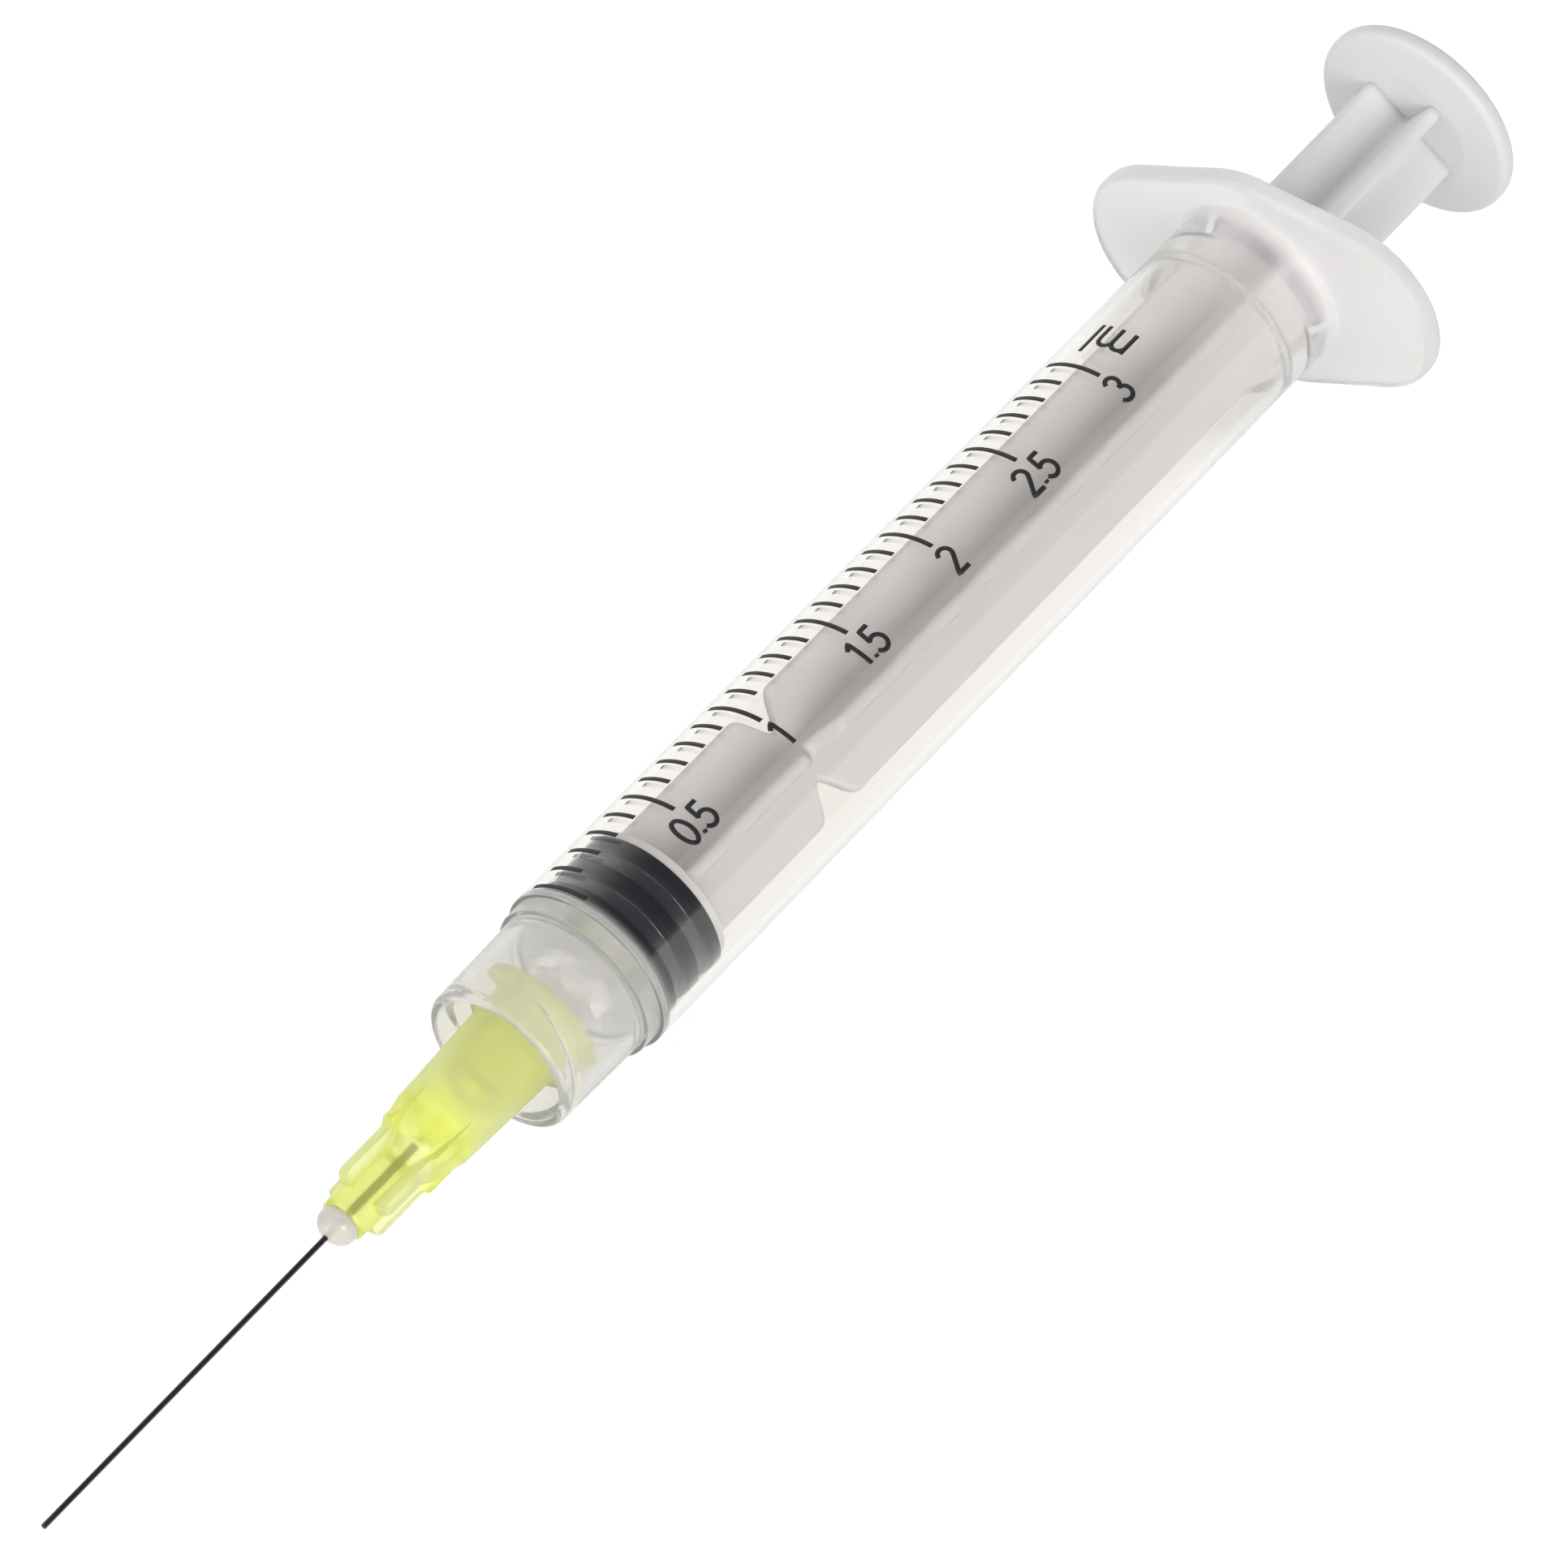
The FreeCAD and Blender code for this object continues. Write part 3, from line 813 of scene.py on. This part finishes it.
def writing(text, x, angle, height, turned=False):
    # Text centred on station x and starting at angle, reading towards the thumb rest with its tops
    # at greater angles, or turned to read round the barrel with its tops towards the needle
    signs = glyphStrokes()
    total = sum(signs[c][1] for c in text) * height
    shells, across = [], 0.0
    for c in text:
        strokes, width = signs[c]
        for stroke in strokes:
            right = (stroke[:, 0] + across) * height
            up = stroke[:, 1] * height
            toDegrees = 180 / np.pi / barrel["outside"]
            if turned:
                shells.append(ribbon(x - up, angle + right * toDegrees, printing["strokeWidth"]))
            else:
                shells.append(ribbon(x - total / 2 + right, angle + up * toDegrees, printing["strokeWidth"]))
        across += width
    return shells


def scaleShells():
    # Five marks to the half millilitre, the first of each five longer, with plain numbers beside them
    shells = []
    stepLength = printing["major"] / printing["parts"]
    for k in range((printing["majors"] - 1) * printing["parts"] + 1):
        start = printing["majorStart"] if k % printing["parts"] == 0 else printing["mediumStart"]
        angle = np.linspace(start, printing["end"], 28)
        shells.append(ribbon(np.full(28, printing["zero"] + k * stepLength), angle, printing["width"]))
    for k, text in enumerate(["0.5", "1", "1.5", "2", "2.5", "3"], 1):
        x = printing["zero"] + k * printing["major"]
        shells += writing(text, x, printing["numeralStart"], printing["numeralHeight"])
    shells += writing("ml", printing["unitX"], printing["unitStart"], printing["unitHeight"], turned=True)
    return shells


def addPrinting():
    material, bench = newMaterial("blackInk")
    place = bench.node("ShaderNodeTexCoord", output="Object")
    grain = bench.node("ShaderNodeTexNoise", inputs={"Vector": place, "Scale": 4000.0, "Detail": 2.0})
    shader = bench.node("ShaderNodeBsdfPrincipled", inputs={
        "Base Color": printing["ink"], "Roughness": 0.45 + grain * 0.2})
    bench.node("ShaderNodeOutputMaterial", inputs={"Surface": shader})
    meshPiece("scaleMarks", scaleShells(), "barrel", material)


addPrinting()

studio = {
    "floorZ": -7.1,
    "floorHalf": 1500.0,
    "floorColour": (0.86, 0.86, 0.86, 1),
    "cameraShare": 0.84,
    "whiteWall": 1.0,
    "wallLight": 1.0,
    "cornerLight": 0.08,
    "darkSide": (0.33, -0.62, 0.71),
    "whiteFloor": 1.12,
    "darkRange": (0.2, 0.95),
    "lamps": [
        ("frontSoftbox", (-0.42, -0.86, 0.12), 0.6, 6.7),
        ("topSoftbox", (-0.02, -0.25, 0.92), 0.5, 1.3),
    ],
    "target": (-43.0275, 0.0, 0.0),
    "lens": 288.23,
    "lean": 61.0,
    "roll": -0.63,
    "shift": 0.5804,
    "distance": 665.0,
    "pictureTurn": (0.70608621, 0.70812589),
}


def placedAt(right, up, back, place):
    # The matrix of a camera or lamp that looks along -back from place
    return Matrix([[right[k], up[k], back[k], place[k]] for k in range(3)] + [[0, 0, 0, 1]])


def addStudio():
    # Pale floor: camera, glossy and transmission rays see it nearly white, with the object's shadow kept
    half, z = studio["floorHalf"] * 0.001, studio["floorZ"] * 0.001
    mesh = bpy.data.meshes.new("paleFloor")
    mesh.from_pydata([(-half, -half, z), (half, -half, z), (half, half, z), (-half, half, z)], [], [(0, 1, 2, 3)])
    floor = bpy.data.objects.new("paleFloor", mesh)
    bpy.context.scene.collection.objects.link(floor)
    material, bench = newMaterial("paleFloor")
    seen = bench.node("ShaderNodeLightPath", output="Is Camera Ray")
    glossy = bench.node("ShaderNodeLightPath", output="Is Glossy Ray")
    through = bench.node("ShaderNodeLightPath", output="Is Transmission Ray")
    fresh = bench.maths("LESS_THAN", bench.node("ShaderNodeLightPath", output="Diffuse Depth"), 0.5)
    anyOf = bench.maths("MAXIMUM", bench.maths("MAXIMUM", seen, glossy), through) * fresh
    paper = bench.node("ShaderNodeBsdfDiffuse", inputs={"Color": studio["floorColour"]})
    white = bench.node("ShaderNodeEmission", inputs={"Color": (1, 1, 1, 1), "Strength": studio["whiteFloor"]})
    both = bench.node("ShaderNodeMixShader", inputs={0: anyOf * studio["cameraShare"], 1: paper, 2: white})
    bench.node("ShaderNodeOutputMaterial", inputs={"Surface": both})
    mesh.materials.append(material)

    world = bpy.data.worlds.new("softRoom")
    bpy.context.scene.world = world
    world.use_nodes = True
    world.node_tree.nodes.clear()
    bench = Wire(world.node_tree)
    # White walls for camera and clear rays. Rays mirrored once or scattered find the room darker in front of
    # the syringe and above it: strength falls from wallLight to cornerLight as direction . darkSide rises
    seen = bench.node("ShaderNodeLightPath", output="Is Camera Ray")
    through = bench.node("ShaderNodeLightPath", output="Is Transmission Ray")
    place = bench.node("ShaderNodeTexCoord", output="Generated")
    along = bench.node(
        "ShaderNodeVectorMath", {"operation": "DOT_PRODUCT"}, {0: place, 1: studio["darkSide"]}, "Value")
    low, high = studio["darkRange"]
    room = bench.node("ShaderNodeMapRange", {"interpolation_type": "SMOOTHSTEP"}, {
        0: along, 1: low, 2: high, 3: studio["wallLight"], 4: studio["cornerLight"]})
    fresh = bench.maths("LESS_THAN", bench.node("ShaderNodeLightPath", output="Diffuse Depth"), 0.5)
    mirrored = bench.maths("COMPARE", bench.node("ShaderNodeLightPath", output="Glossy Depth"), 1.0)
    white = bench.maths("MAXIMUM", seen, through) * fresh * (1 - mirrored)
    strength = room * (1 - white) + white * studio["whiteWall"]
    sky = bench.node("ShaderNodeBackground", inputs={"Color": (1, 1, 1, 1), "Strength": strength})
    bench.node("ShaderNodeOutputWorld", inputs={"Surface": sky})

    for name, place, size, energy in studio["lamps"]:
        lamp = bpy.data.lights.new(name, "AREA")
        lamp.size = size
        lamp.energy = energy
        lampObject = bpy.data.objects.new(name, lamp)
        place = np.array(place)
        back = place / np.linalg.norm(place)
        right = np.cross((0, 0, 1), back)
        right = right / np.linalg.norm(right)
        up = np.cross(back, right)
        lampObject.matrix_world = placedAt(right, up, back, place)
        bpy.context.scene.collection.objects.link(lampObject)


def addCamera():
    # The line of sight runs at lean degrees to the syringe's axis, which is then turned onto the
    # photograph's diagonal: u and v are the picture's directions before pictureTurn, its cosine and sine
    lean, roll = np.radians(studio["lean"]), np.radians(studio["roll"])
    half = 0.70710678
    axis = np.array([1.0, 0.0, 0.0])
    down = np.array([0.0, -half, -half])
    near = np.array([0.0, -half, half])
    u = np.sin(lean) * np.cos(roll) * axis - np.sin(roll) * down + np.cos(lean) * np.cos(roll) * near
    v = np.sin(lean) * np.sin(roll) * axis + np.cos(roll) * down + np.cos(lean) * np.sin(roll) * near
    forward = np.cos(lean) * axis - np.sin(lean) * near
    place = np.array(studio["target"]) + studio["shift"] * v - studio["distance"] * forward
    cosine, sine = studio["pictureTurn"]
    right = cosine * u + sine * v
    up = sine * u - cosine * v
    lens = bpy.data.cameras.new("photoCamera")
    lens.lens = studio["lens"]
    lens.sensor_width = 36.0
    lens.sensor_fit = "HORIZONTAL"
    lens.clip_end = 10.0
    camera = bpy.data.objects.new("photoCamera", lens)
    camera.matrix_world = placedAt(right, up, -forward, place * 0.001)
    bpy.context.scene.collection.objects.link(camera)
    bpy.context.scene.camera = camera


addStudio()
addCamera()
bpy.context.scene.view_settings.view_transform = "Standard"
print("studio: floor, lamps and camera set")
